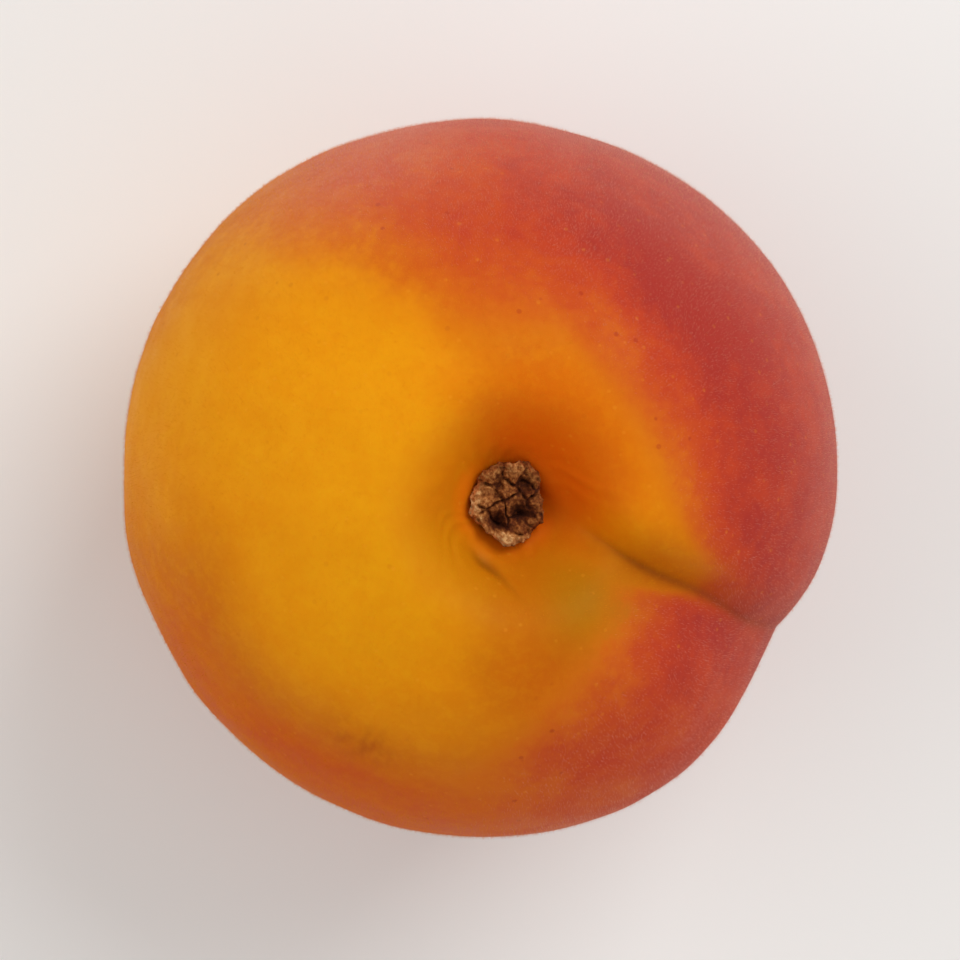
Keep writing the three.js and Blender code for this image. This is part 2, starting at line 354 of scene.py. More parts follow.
def skin_angles():
    """Polar angles and azimuths of the skin's grid [ring, column], evenly spaced down a cheek and
    finer in the stem cavity."""
    fine = np.linspace(FIRST_POLAR, LAST_POLAR, 4000)
    cheek = skin_points(fine, np.full_like(fine, math.pi / 2))
    steps = np.linalg.norm(np.diff(cheek, axis=0), axis=1)
    steps *= 1 + CAVITY_FINENESS * (1 - smooth(fine[1:], 0.25, 0.6))
    lengths = np.concatenate([[0], np.cumsum(steps)])
    polars = np.interp(np.linspace(0, lengths[-1], SKIN_RINGS), lengths, fine)
    turns = -math.pi + 2 * math.pi * np.arange(SKIN_COLUMNS) / SKIN_COLUMNS
    azimuths = turns - CROWDING * np.sin(turns)
    return np.meshgrid(polars, azimuths, indexing="ij")


class PlainSkin:
    """The grid of the plain skin's points [ring, column], and where on the fruit each of them lies."""

    def __init__(self):
        self.polar, self.azimuth = skin_angles()
        self.points = skin_points(self.polar, self.azimuth)
        self.radius = np.hypot(self.points[..., 0], self.points[..., 1])
        self.beside = self.points[..., 1] - suture_stray(self.polar)  # towards +Y from the suture
        self.upper = 1 - smooth(self.polar, 1.2, 1.6)  # 1 on the stem's half, 0 on the other
        self.stem_end = 1 - smooth(self.polar, 0.5, 0.9)  # 1 round the stem
        self.suture_side = smooth(np.cos(self.azimuth), 0, 0.4)  # 1 on the suture's half

    def toward(self, degrees, spread, power=2.0):
        """1 at an azimuth that is given in degrees, 0 far from it."""
        return toward(self.azimuth, degrees, spread, power)

    def ring(self, radius, width):
        """1 at that distance from the axis, 0 far from it."""
        return bell(self.radius - radius, width)

    def below(self, start, end):
        """0 down to the first polar angle, 1 from the second on."""
        return smooth(self.polar, start, end)


def crescent(at, width):
    """The curved fold beside the stem: 1 along its middle, 0 away from it."""
    along = turn_from(at.azimuth, CRESCENT_AT)
    outward = CRESCENT_SLANT * along + CRESCENT_BEND * np.maximum(along, 0) ** 2
    return (bell(along, CRESCENT_HALF_LENGTH)
            * lopsided_bell(at.radius - CRESCENT_RADIUS - outward, width, 0.6 * width))


def skin_relief(at):
    """How far the finished skin stands above the plain one."""
    relief = sum(height * waves(at.points, length, LUMP_SEED + k)
                 for k, (length, height) in enumerate(LUMPS))
    stray, fade = STEM_FOLD_WAVES
    folds = np.cos(STEM_FOLDS * at.azimuth + STEM_FOLD_STRAY * waves(at.points, stray, FOLD_SEED))
    folds *= smooth(waves(at.points, fade, FOLD_SEED + 1), -0.3, 0.9)
    relief += (STEM_FOLD_DEPTH * folds * at.stem_end * smooth(at.radius, 2.4, 3.4)
               * at.ring(STEM_FOLD_RADIUS, 2.8))
    relief -= CRESCENT_DEPTH * at.stem_end * crescent(at, CRESCENT_WIDTH)
    gash = at.toward(GASH_AT, 0.5)
    relief -= GASH_DEPTH * at.stem_end * gash * at.ring(GASH_RADIUS, 1.3)
    relief += STUB_SEAL * at.stem_end * (1 - gash) * at.ring(STUB_SEAL_RADIUS, 0.5)
    return relief * smooth(at.points[..., 2], RELIEF_FROM, RELIEF_FULL)


# ---------------------------------------------------------------- meshes

def mesh_object(name, points, faces, smooth_shaded=True):
    """A mesh from points in millimetres and a list of faces or an array of them."""
    mesh = bpy.data.meshes.new(name)
    if isinstance(faces, np.ndarray):
        sides = faces.shape[1]
        mesh.vertices.add(len(points))
        mesh.vertices.foreach_set("co", (points * MM).astype(np.float32).ravel())
        mesh.loops.add(faces.size)
        mesh.loops.foreach_set("vertex_index", faces.astype(np.int32).ravel())
        mesh.polygons.add(len(faces))
        mesh.polygons.foreach_set("loop_start", np.arange(0, faces.size, sides, dtype=np.int32))
    else:
        mesh.from_pydata((points * MM).tolist(), [], faces)
    mesh.update(calc_edges=True)
    mesh.validate()
    if smooth_shaded:
        mesh.shade_smooth()
    piece = bpy.data.objects.new(name, mesh)
    bpy.context.scene.collection.objects.link(piece)
    return piece


def closed_grid_faces(rings, columns):
    """Quads of a grid that closes round its columns, and triangles to a point at each end. The two
    points come after those of the grid."""
    first_pole = rings * columns
    last_pole = first_pole + 1
    faces = []
    for k in range(rings - 1):
        for i in range(columns):
            j = (i + 1) % columns
            faces.append((k * columns + i, (k + 1) * columns + i,
                          (k + 1) * columns + j, k * columns + j))
    last = (rings - 1) * columns
    for i in range(columns):
        j = (i + 1) % columns
        faces.append((i, j, first_pole))
        faces.append((last + j, last + i, last_pole))
    return faces


def add_uv(piece, rings, columns):
    """A map for baking: columns across and rings up, in the order of closed_grid_faces."""
    layer = piece.data.uv_layers.new(name="OFBake")
    corners = []
    for k in range(rings - 1):
        low, high = (k + 1) / (rings + 1), (k + 2) / (rings + 1)
        for i in range(columns):
            left, right = i / columns, (i + 1) / columns
            corners += [left, low, left, high, right, high, right, low]
    low, high = 1 / (rings + 1), rings / (rings + 1)
    for i in range(columns):
        left, right = i / columns, (i + 1) / columns
        middle = (left + right) / 2
        corners += [left, low, right, low, middle, 0]
        corners += [right, high, left, high, middle, 1]
    layer.data.foreach_set("uv", np.array(corners, np.float32))


def closed_piece(name, grid):
    """A piece from a grid of points [ring, column] that a point closes at each end."""
    rings, columns = grid.shape[:2]
    poles = np.array([grid[0].mean(0), grid[-1].mean(0)])
    points = np.concatenate([grid.reshape(-1, 3), poles])
    piece = mesh_object(name, points, closed_grid_faces(rings, columns))
    add_uv(piece, rings, columns)
    return piece


def add_attribute(piece, name, values):
    """Gives a closed piece's points the values of its grid [ring, column]."""
    ends = [values[0].mean(), values[-1].mean()]
    attribute = piece.data.attributes.new(name, "FLOAT", "POINT")
    attribute.data.foreach_set("value", np.concatenate([values.ravel(), ends]).astype(np.float32))


def finish_piece(piece, material, slot, *nodes):
    piece.data.materials.append(material)
    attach(piece, "root")
    if nodes:
        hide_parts(*nodes)
    return piece


# ---------------------------------------------------------------- materials

class Nodes:
    """A material's nodes. Inputs are given by name, as numbers, colours or other nodes' sockets."""

    def __init__(self, name):
        self.material = bpy.data.materials.new(name)
        self.material.use_nodes = True
        self.tree = self.material.node_tree
        self.shader = self.tree.nodes["Principled BSDF"]

    def plug(self, node, inputs):
        for key, value in inputs.items():
            socket = node.inputs[key]
            if isinstance(value, bpy.types.NodeSocket):
                self.tree.links.new(value, socket)
            else:
                socket.default_value = value

    def add(self, kind, inputs, output=0, **settings):
        node = self.tree.nodes.new(kind)
        for key, value in settings.items():
            setattr(node, key, value)
        self.plug(node, inputs)
        return node.outputs[output]

    def place(self):
        """The point of the surface in the object's own frame, in millimetres."""
        here = self.add("ShaderNodeTexCoord", {}, "Object")
        return self.add("ShaderNodeVectorMath", {0: here, "Scale": 1 / MM}, operation="SCALE")

    def noise(self, vector, size, detail=3.0, roughness=0.55):
        """Noise of about 0 to 1 with features of that size in millimetres."""
        return self.add("ShaderNodeTexNoise", {
            "Vector": vector, "Scale": 1 / size, "Detail": detail, "Roughness": roughness})

    def dots(self, vector, spacing, inner, outer, chosen):
        """1 in small dots that fade from an inner to an outer radius, as shares of their spacing. The
        dots whose random value lies above the chosen two are there, and those below are not."""
        node = self.tree.nodes.new("ShaderNodeTexVoronoi")
        self.plug(node, {"Vector": vector, "Scale": 1 / spacing})
        return self.math("MULTIPLY", self.range(node.outputs["Distance"], outer, inner),
                         self.range(node.outputs["Color"], *chosen))

    def attribute(self, name):
        return self.add("ShaderNodeAttribute", {}, "Fac", attribute_name=name)

    def math(self, operation, a, b=0.0, c=0.0):
        return self.add("ShaderNodeMath", {0: a, 1: b, 2: c}, operation=operation)

    def range(self, value, low, high, to_low=0.0, to_high=1.0):
        return self.add("ShaderNodeMapRange", {
            "Value": value, "From Min": low, "From Max": high, "To Min": to_low,
            "To Max": to_high}, interpolation_type="SMOOTHSTEP")

    def sway(self, noise, amount, low=0.3, high=0.7):
        """A noise as a value that sways by that amount to both sides of 0."""
        return self.range(noise, low, high, -amount, amount)

    def mix(self, share, first, second):
        node = self.tree.nodes.new("ShaderNodeMix")
        node.data_type = "RGBA"
        self.plug(node, {"Factor": share, 6: first, 7: second})
        return node.outputs[2]

    def painted(self, under, color, where, share):
        """A colour laid over another, up to that share."""
        return self.mix(self.math("MULTIPLY", where, share), under, color)

    def ramp(self, value, stops):
        """A colour ramp through (position, colour) stops."""
        node = self.tree.nodes.new("ShaderNodeValToRGB")
        elements = node.color_ramp.elements
        elements[0].position, elements[0].color = stops[0]
        elements[1].position, elements[1].color = stops[-1]
        for position, color in stops[1:-1]:
            elements.new(position).color = color
        self.plug(node, {"Fac": value})
        return node.outputs["Color"]


def paint(red, green, blue):
    """A colour given as 0 to 255 on a screen, as linear light."""
    linear = [((c / 255 + 0.055) / 1.055) ** 2.4 if c > 10 else c / 255 / 12.92
              for c in (red, green, blue)]
    return (*linear, 1.0)


GROUND = (  # from yellow to ripening orange; its deeper end also serves as painted shade
    (0.0, paint(241, 161, 2)),
    (0.3, paint(234, 144, 1)),
    (0.6, paint(213, 114, 1)),
    (1.0, paint(204, 76, 1)),
)
MOTTLE = paint(224, 122, 2)
DAPPLE = paint(244, 172, 10)
# olive, for greener skin and for painted shade
GREENISH_AND_SHADE = paint(173, 117, 1)
# painted shade in the stem cavity
CAVITY_SHADE_ORANGE = paint(246, 96, 1)
BLUSH = (  # from a faint one to a full one
    (0.0, paint(220, 122, 3)),
    (0.26, paint(212, 99, 11)),
    (0.45, paint(204, 79, 19)),
    (0.7, paint(194, 62, 28)),
    (1.0, paint(171, 47, 36)),
)
# the suture's brown line, and painted shade in its crease and on its low flank
SEAM_BROWN_AND_SHADE = paint(140, 56, 6)
# painted shade along the curved fold beside the stem
CRESCENT_SHADE_BROWN = paint(124, 62, 6)
FRECKLE_RED = paint(176, 46, 14)
PALE_PORE = paint(246, 164, 40)
SCUFF_BROWN = paint(172, 66, 2)
# pale powdery film, and painted sheen towards the rim
GOLDEN_BLOOM_AND_SHEEN = paint(240, 182, 60)
ROSY_BLOOM_AND_SHEEN = paint(216, 153, 140)
PALE_DOWN = paint(236, 168, 144)
GOLDEN_DOWN = paint(232, 142, 6)
WOOD = (  # from its cracks and pits, darkened with painted shade, to its flakes
    (0.0, paint(56, 18, 3)),
    (0.28, paint(96, 42, 10)),
    (0.52, paint(142, 82, 34)),
    (0.78, paint(186, 124, 66)),
    (1.0, paint(226, 176, 116)),
)
WOOD_STAIN = paint(88, 40, 14)
FLOOR_COLOR = paint(244, 243, 241)


def ground_color(n, broad, middling, fine):
    """The skin's ground: yellow to orange as it ripens and deeper orange as painted shade, greener in
    places and olive as painted shade, and painted shade in deep orange in the cavity.
    """
    ripeness_and_shade = n.attribute("ripeness_and_shade")
    ripened_and_shaded = n.ramp(n.math("ADD", ripeness_and_shade, n.sway(broad, 0.1)), GROUND)
    mottled = n.mix(n.range(middling, 0.35, 0.7, 0.0, 0.22), ripened_and_shaded, MOTTLE)
    dapple = n.range(ripeness_and_shade, 0.5, 1.0, 0.16, 0.05)
    dappled = n.mix(n.range(fine, 0.4, 0.7, 0.0, dapple), mottled, DAPPLE)
    greened_and_shaded = n.painted(dappled, GREENISH_AND_SHADE, n.attribute("green"), share=0.9)
    # painted shade in deep orange in the stem cavity
    return n.painted(greened_and_shaded, CAVITY_SHADE_ORANGE, n.attribute("cavity"), share=0.75)


def blushed_color(n, ground, broad, middling, fine):
    """The ground under a blush that is uneven, and weaker where a faint one lies on deep orange ground,
    ripening and painted shade alike.
    """
    blush = n.attribute("blush")
    in_patches = n.math("ADD", n.sway(middling, 0.09, 0.25, 0.75), n.sway(broad, 0.14))
    uneven = n.math("ADD", n.sway(fine, 0.07), in_patches)
    wash = n.math("MULTIPLY_ADD", uneven, n.range(blush, 0.0, 0.45), blush)
    full = n.range(n.attribute("ripeness_and_shade"), 0.75, 1.2, 0.24, 0.6)
    return n.mix(n.range(wash, 0.0, full), ground, n.ramp(wash, BLUSH))


def marked_color(n, at, plain, pores):
    """The skin's colour with its marks: the suture's line with painted shade in and beside it, painted
    shade along the fold, freckles, pores and the scuff.
    """
    seamed_and_shaded = n.painted(plain, SEAM_BROWN_AND_SHADE, n.attribute("seam_and_shade"), share=0.55)
    fold_shaded = n.painted(seamed_and_shaded, CRESCENT_SHADE_BROWN, n.attribute("crescent"), share=0.6)
    freckles = n.dots(at, spacing=1.35, inner=0.09, outer=0.16, chosen=(0.55, 0.75))
    freckled_share = n.range(n.attribute("blush"), 0.02, 0.3, 0.08, 0.6)
    freckled = n.painted(fold_shaded, FRECKLE_RED, freckles, freckled_share)
    pored = n.painted(freckled, PALE_PORE, pores, share=0.16)
    return n.painted(pored, SCUFF_BROWN, n.attribute("scuff"), share=0.7)


def bloom_and_sheen_color(n, bare, grain):
    """The skin's colour under a pale, powdery film that also serves as painted sheen, golden on the
    ground and rosy on the blush.
    """
    powder_and_sheen = n.mix(n.range(n.attribute("blush"), 0.05, 0.4), GOLDEN_BLOOM_AND_SHEEN, ROSY_BLOOM_AND_SHEEN)
    thickness = n.range(n.attribute("bloom_and_sheen"), 0.0, 1.8, 0.03, 0.42)
    return n.painted(bare, powder_and_sheen, n.range(grain, 0.25, 0.75, 0.6, 1.0), thickness)


def skin_material():
    n = Nodes("apricot_skin")
    at = n.place()
    broad = n.noise(at, size=11, detail=2)
    middling = n.noise(at, size=2.6, detail=4, roughness=0.6)
    fine = n.noise(at, size=0.9, roughness=0.7)
    grain = n.noise(at, size=0.42, roughness=0.65)
    pores = n.dots(at, spacing=0.85, inner=0.1, outer=0.2, chosen=(0.5, 0.7))
    ground = ground_color(n, broad, middling, fine)
    blushed = blushed_color(n, ground, broad, middling, fine)
    marked = marked_color(n, at, blushed, pores)
    bloomed_and_sheened = bloom_and_sheen_color(n, marked, grain)

    height = n.math("ADD", n.math("MULTIPLY", grain, 0.5), n.math("MULTIPLY", middling, 0.9))
    pitted = n.math("SUBTRACT", height, n.math("MULTIPLY", pores, 0.35))
    bump = n.add("ShaderNodeBump", {
        "Strength": 0.5, "Distance": 0.05 * MM, "Height": pitted}, "Normal")
    n.plug(n.shader, {
        "Base Color": bloomed_and_sheened,
        "Roughness": n.range(middling, 0.2, 0.8, 0.52, 0.7),
        "Normal": bump,
        "Specular IOR Level": 0.07,
        "Subsurface Weight": 0.2,
        "Subsurface Radius": (1.0, 0.35, 0.08),
        "Subsurface Scale": 2 * MM,
        "Sheen Weight": 0.015,
        "Sheen Roughness": 0.4,
        "Sheen Tint": (1.0, 0.55, 0.22, 1.0),
    })
    return n.material


def down_material(name, color):
    n = Nodes(name)
    n.plug(n.shader, {
        "Base Color": color,
        "Roughness": 0.8,
        "Specular IOR Level": 0.15,
    })
    return n.material


def stub_material():
    n = Nodes("dry_stub")
    at = n.place()
    drawn = n.add("ShaderNodeVectorMath", {0: at, 1: (1.0, 1.0, 0.25)}, operation="MULTIPLY")
    fibre = n.noise(drawn, size=0.16, detail=5, roughness=0.7)
    stain = n.noise(at, size=0.9)
    # the wood's lightness, with painted shade in its cracks and pits
    lightness = n.math("ADD", n.attribute("relief"), n.sway(fibre, 0.22))
    wood = n.ramp(lightness, WOOD)
    stained = n.mix(n.range(stain, 0.4, 0.75, 0.0, 0.45), wood, WOOD_STAIN)
    bump = n.add("ShaderNodeBump", {
        "Strength": 0.7, "Distance": 0.06 * MM, "Height": fibre}, "Normal")
    n.plug(n.shader, {
        "Base Color": stained,
        "Roughness": n.range(fibre, 0.2, 0.8, 0.7, 0.95),
        "Normal": bump,
        "Specular IOR Level": 0.2,
    })
    return n.material


def floor_material():
    n = Nodes("pale_floor")
    n.plug(n.shader, {"Base Color": FLOOR_COLOR, "Roughness": 0.7})
    return n.material


# ---------------------------------------------------------------- fruit

def blush_mask(at):
    """How much the sun has reddened the skin: most round BLUSH_AT, less and lower down away from it."""
    polar = np.degrees(at.polar)
    away = np.degrees(turn_from(at.azimuth, BLUSH_AT))
    tongue = (TONGUE * lopsided_bell(at.beside, *TONGUE_WIDTHS)
              * smooth(np.cos(at.azimuth), 0, 0.5))
    edge = (BLUSH_EDGE + BLUSH_SINK * (np.maximum(away, 0) / BLUSH_REACH) ** 3
            + BLUSH_SINK * (np.minimum(away, 0) / BLUSH_LOW_REACH) ** 4 + tongue)
    faint = smooth(away, 75, 125)
    start, end = (blend + more * faint for blend, more in zip(BLUSH_BLEND, BLUSH_FAINT_BLEND))
    on_fuller_cheek = 1 - 0.85 * smooth(away, 55, 150)
    on_low_cheek = 1 - 0.87 * smooth(-away, 15, 113)
    in_front = 1 - smooth(np.abs(away), 150, 178)
    above = 1 - 0.75 * smooth(polar, 85, 150)
    return (smooth(polar, edge - start, edge + end)
            * (on_fuller_cheek * on_low_cheek * in_front) * above)


def green_and_shade_mask(at):
    """Greener skin beside the suture, darkened there with painted shade, and round the stem, and olive
    painted shade on the stem end's flank on the half opposite the fuller cheek.
    """
    beside_suture = 0.85 * at.toward(-27, 0.44) * at.ring(7.5, 3.4)
    round_stem = 0.3 * at.ring(3, 3)
    low_half = 0.4 * at.toward(-105, 1.3, power=4) * at.ring(5, 4.6)
    return at.upper * (beside_suture + round_stem + low_half)


def cavity_shade_mask(at):
    """Painted shade in deep orange in the stem cavity: wider and stronger on the fuller cheek's side,
    and in a ring round the stub.
    """
    strength = 0.3 + 0.7 * smooth(np.cos(at.azimuth - 1.15), -0.1, 0.9)
    reach = 6 + 1.8 * np.cos(at.azimuth - 1.7)
    round_stub = 0.75 * at.ring(2.6, 1.1)
    return at.upper * np.maximum(bell(at.radius / reach, 1, 2.4) * strength, round_stub)


def ripeness_and_shade_mask(at):
    """How far the ground has turned orange: partly ripening and partly painted shade, which deepens the
    orange low on the cheeks, on the low shoulder, beside the suture's low flank, and round and behind
    the stem.
    """
    front = 0.55 * smooth(np.cos(at.azimuth - 0.5), -1, 0.35)
    low_side = smooth(-np.sin(at.azimuth - 0.25), -0.15, 0.65)
    down_the_cheeks = at.below(0.42, 1.12) * (0.12 + 0.58 * low_side)
    low_shoulder = 0.3 * at.toward(-102, 0.6) * at.below(0.62, 1.05) * (1 - 0.8 * at.below(1.1, 1.6))
    beside_suture = 0.34 * at.toward(-55, 0.7) * at.ring(9, 5)
    yellow_in_suture = 0.28 * at.toward(9, 0.3) * at.ring(6.8, 2.4)
    round_stem = 0.22 * at.upper * at.ring(4.5, 3.5)
    behind_stem = 0.18 * at.upper * at.toward(195, 0.7) * at.ring(4.8, 2)
    return (front + down_the_cheeks + low_shoulder + beside_suture - yellow_in_suture + round_stem
            + behind_stem)


def seam_and_shade_mask(at):
    """The brown line along the bottom of the suture, widened by painted shade in its crease, and painted
    shade on its low flank.
    """
    line = 0.3 * bell(at.beside, 1.1) + 0.7 * bell(at.beside, 0.3)
    line *= smooth(at.radius, 4, 9) * at.suture_side * (1 - 0.65 * at.below(0.8, 1.4))
    low_flank = 0.4 * bell(at.beside + 2.3, 1.9) * at.suture_side * at.ring(10, 3.2)
    return line + low_flank


def bloom_and_sheen_mask(at, blush):
    """A pale, powdery film on the blush and beside it, and down the cheek that has the most down, with
    painted sheen: it thickens towards the rim seen from above, and is weaker beside the suture's low
    flank.
    """
    on_blush = (np.maximum(blush, 0.9 * at.toward(138, 0.65)) * at.below(0.5, 1.2)
                * (1 - 0.5 * at.toward(-35, 0.7)))
    on_downy_cheek = 0.4 * at.below(1.1, 1.45) * at.toward(DOWNY_AT, 0.85)
    beside_it = 0.4 * at.below(0.8, 1.2) * at.toward(145, 0.5)
    return on_blush + on_downy_cheek + beside_it


def scuff_mask(at):
    """A faint scuff on the shoulder: a few short streaks that run down the cheek."""
    down = (at.polar - SCUFF_POLAR) * CHEEK_WIDTH / 2
    across = turn_from(at.azimuth, SCUFF_AT) * CHEEK_WIDTH / 2 * math.sin(SCUFF_POLAR)
    stray, wear = SCUFF_WAVES
    streaks = 0.5 + 0.5 * np.cos(across * 2 * math.pi / SCUFF_STREAK
                                 + SCUFF_STREAK_STRAY * waves(at.points, stray, SCUFF_SEED))
    worn = smooth(waves(at.points, wear, SCUFF_SEED + 1), -0.9, 0.7)
    return (bell(down, SCUFF_LENGTH / 2) * bell(across, SCUFF_WIDTH / 2) * worn
            * (SCUFF_BETWEEN_STREAKS + (1 - SCUFF_BETWEEN_STREAKS) * streaks))


def box_mm(box):
    """The low and the high corner of a box in metres, in millimetres."""
    return (np.array(corner) / MM for corner in box)


def fit_to_box(points, box):
    """The size and the shift that take a grid of points to a box's height and on to its middle."""
    low, high = box_mm(box)
    points_low, points_high = points.min((0, 1)), points.max((0, 1))
    size = (high[2] - low[2]) / (points_high[2] - points_low[2])
    middle = (points_low + points_high) / 2
    shift = np.array([(low[0] + high[0]) / 2, (low[1] + high[1]) / 2, low[2]])
    shift -= size * np.array([middle[0], middle[1], points_low[2]])
    return size, shift


def make_skin():
    """The skin, and where the fruit's axis stands in the frame."""
    at = PlainSkin()
    finished = at.points + grid_normals(at.points) * skin_relief(at)[..., None]
    size, shift = fit_to_box(at.points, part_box("fruit"))
    piece = closed_piece("skin", finished * size + shift)
    blush = blush_mask(at)
    masks = {
        "blush": blush,
        # greener skin, and painted shade in olive
        "green": green_and_shade_mask(at),
        # painted shade in the stem cavity
        "cavity": cavity_shade_mask(at),
        # ripening, and painted shade in deeper orange
        "ripeness_and_shade": ripeness_and_shade_mask(at),
        # the suture's brown line, and painted shade in its crease and on its low flank
        "seam_and_shade": seam_and_shade_mask(at),
        # pale powdery film, and painted sheen towards the rim
        "bloom_and_sheen": bloom_and_sheen_mask(at, blush),
        # painted shade along the fold beside the stem
        "crescent": at.upper * crescent(at, CRESCENT_SHADE_WIDTH),
        "scuff": scuff_mask(at),
    }
    for name, mask in masks.items():
        add_attribute(piece, name, mask)
    return finish_piece(piece, skin_material(), "skin", "fruit"), shift


def read_array(values, key, width, kind):
    """One property of a mesh's elements, as an array [element, number]."""
    array = np.zeros(len(values) * width, kind)
    values.foreach_get(key, array)
    return array.reshape(-1, width)


def make_down(skin, stem_axis):
    """Short hairs, each a slim closed spike whose root is sunk in the skin: pale on the blush, golden
    elsewhere."""
    rng = np.random.default_rng(DOWN_SEED)
    mesh = skin.data
    mesh.calc_loop_triangles()
    corners = read_array(mesh.loop_triangles, "vertices", 3, np.int32)
    places = read_array(mesh.vertices, "co", 3, np.float32).astype(float) / MM
    normals = read_array(mesh.vertices, "normal", 3, np.float32).astype(float)
    blush = read_array(mesh.attributes["blush"].data, "value", 1, np.float32).ravel()
    a, b, c = (places[corners[:, k]] for k in range(3))
    areas = np.linalg.norm(np.cross(b - a, c - a), axis=1) / 2
    middles = (a + b + c) / 3
    facing = np.arctan2(middles[:, 1] - stem_axis[1], middles[:, 0] - stem_axis[0])
    areas *= 1 + (DOWNY_TIMES - 1) * toward(facing, DOWNY_AT, DOWNY_SPREAD)
    on_blush = smooth(blush[corners].mean(axis=1), PALE_FROM, PALE_FULL)
    kinds = {
        "pale": (areas * on_blush, down_material("pale_down", PALE_DOWN)),
        "golden": (areas * (1 - on_blush), down_material("golden_down", GOLDEN_DOWN)),
    }
    for kind, (share, material) in kinds.items():
        count = int(HAIRS_A_MM2 * share.sum())
        chosen = corners[rng.choice(len(corners), count, p=share / share.sum())]
        weights = rng.dirichlet((1, 1, 1), count)
        roots = np.einsum("ij,ijk->ik", weights, places[chosen])
        outwards = np.einsum("ij,ijk->ik", weights, normals[chosen])
        outwards /= np.linalg.norm(outwards, axis=1)[:, None]
        from_axis = np.hypot(roots[:, 0] - stem_axis[0], roots[:, 1] - stem_axis[1])
        in_cavity = (from_axis <= HAIRLESS_RADIUS) & (roots[:, 2] >= HEIGHT / 2)
        kept = (roots[:, 2] > HAIRLESS_HEIGHT) & ~in_cavity
        spikes = hair_points(roots[kept], outwards[kept], from_axis[kept], rng)
        make_hairs(f"down_{kind}", spikes, material)


def make_hairs(name, spikes, material):
    """Pieces from the corners of the hairs' spikes, as many as the most hairs of one piece ask for."""
    sides = np.array([(0, 1, 3), (1, 2, 3), (2, 0, 3), (0, 2, 1)])
    for number, first in enumerate(range(0, len(spikes), MOST_HAIRS)):
        some = spikes[first:first + MOST_HAIRS]
        faces = (4 * np.arange(len(some))[:, None, None] + sides).reshape(-1, 3)
        piece = mesh_object(f"{name}_{number}", some.reshape(-1, 3), faces, smooth_shaded=False)
        finish_piece(piece, material, "skin")


def hair_points(roots, outwards, from_axis, rng):
    """The four corners of each hair's spike [hair, corner], from its root and the skin's normal."""
    count = len(roots)
    swirl, swirl_share = HAIR_FLOW
    flow = np.stack([waves(roots, swirl, HAIR_FLOW_SEED + k) for k in range(3)], axis=1)
    disorder = rng.normal(size=(count, 3)) * HAIR_DISORDER
    leaning = outwards + HAIR_LEAN * (swirl_share * flow + disorder)
    leaning /= np.linalg.norm(leaning, axis=1)[:, None]
    lengths = rng.uniform(*HAIR_LENGTHS, count) * (0.5 + 0.5 * smooth(from_axis, 3, 8))
    across = np.cross(leaning, rng.normal(size=(count, 3)))
    across /= np.linalg.norm(across, axis=1)[:, None]
    third = np.cross(leaning, across)
    base = roots - HAIR_SINK * outwards
    ring = [base + HAIR_WIDTH / 2 * (math.cos(t) * across + math.sin(t) * third)
            for t in (0, 2 * math.pi / 3, 4 * math.pi / 3)]
    return np.stack([*ring, roots + lengths[:, None] * leaning], axis=1)


# ---------------------------------------------------------------- stub

def cells(points, seeds):
    """The number of the seed nearest to each point in a plane, and how much further the next one is."""
    distances = np.sqrt(((points[..., None, :] - seeds) ** 2).sum(-1))
    nearest = distances.argmin(axis=-1)
    distances.sort(axis=-1)
    return nearest, distances[..., 1] - distances[..., 0]


def stub_plates():
    """The plates of the torn wood: the x and y of each one's middle, its height and its lightness."""
    rng = np.random.default_rng(PLATE_SEED)
    numbers = np.arange(STUB_PLATES)
    reach = np.sqrt((numbers + 0.5) / STUB_PLATES) * STUB_RADIUS
    disorder = rng.uniform(-STUB_PLATE_DISORDER, STUB_PLATE_DISORDER, STUB_PLATES)
    spin = STUB_PLATE_TURN * numbers + disorder
    return np.stack([reach * np.cos(spin), reach * np.sin(spin),
                     rng.uniform(-STUB_PLATE_STEP, STUB_PLATE_STEP, STUB_PLATES),
                     rng.uniform(*STUB_PLATE_SHADES, STUB_PLATES)], axis=1)


def stub_top(x, y, plates):
    """Height of the torn top above the bottom of the funnel, and how light its wood is, with painted
    shade in its cracks and pits.
    """
    azimuth = np.arctan2(y, x)
    share = np.hypot(x, y) / STUB_RADIUS
    rim = smooth(share, 0.4, 0.95)
    pits = sum(depth * bell(np.hypot(x - pit_x, y - pit_y), radius)
               for pit_x, pit_y, radius, depth in STUB_PITS)
    flat = np.stack([x, y, np.zeros_like(x)], axis=-1)
    warped = np.stack([x + STUB_WARP * waves(flat, STUB_WARP_LENGTH, STUB_SEED),
                       y + STUB_WARP * waves(flat, STUB_WARP_LENGTH, STUB_SEED + 1)], axis=-1)
    nearest, edge = cells(warped, plates[:, :2])
    crack = 1 - smooth(edge, 0, STUB_CRACK_WIDTH)
    ragged = waves(flat, STUB_RAGGED_LENGTH, STUB_SEED + 2)
    flakes = sum(toward(azimuth, place, STUB_FLAKE_SPREAD) for place in STUB_FLAKES_AT)
    flakes = flakes * smooth(share, 0.66, 0.88)
    fibres = np.cos(STUB_FIBRES * azimuth + 2 * ragged)
    height = STUB_HEIGHT - STUB_TEAR + rim * ripples(azimuth, STUB_RIM)
    height -= STUB_HOLLOW * (1 - rim) + pits
    height += (1 - crack) * plates[nearest, 2] - STUB_CRACK_DEPTH * crack * (1 - 0.6 * flakes)
    height += STUB_RAGGED * ragged + STUB_FIBRE_HEIGHT * rim * fibres + STUB_FLAKE_RISE * flakes
    golden = smooth(np.cos(azimuth - STUB_GOLDEN_AT) * share, -0.3, 0.7)
    # painted shade darkens the cracks and the pits
    light = (STUB_LIGHTNESS + plates[nearest, 3] - 0.27 * crack + 0.16 * rim + 0.12 * golden
             + 0.42 * flakes - 0.4 * np.minimum(pits, 1) + 0.1 * ragged)
    return height, light


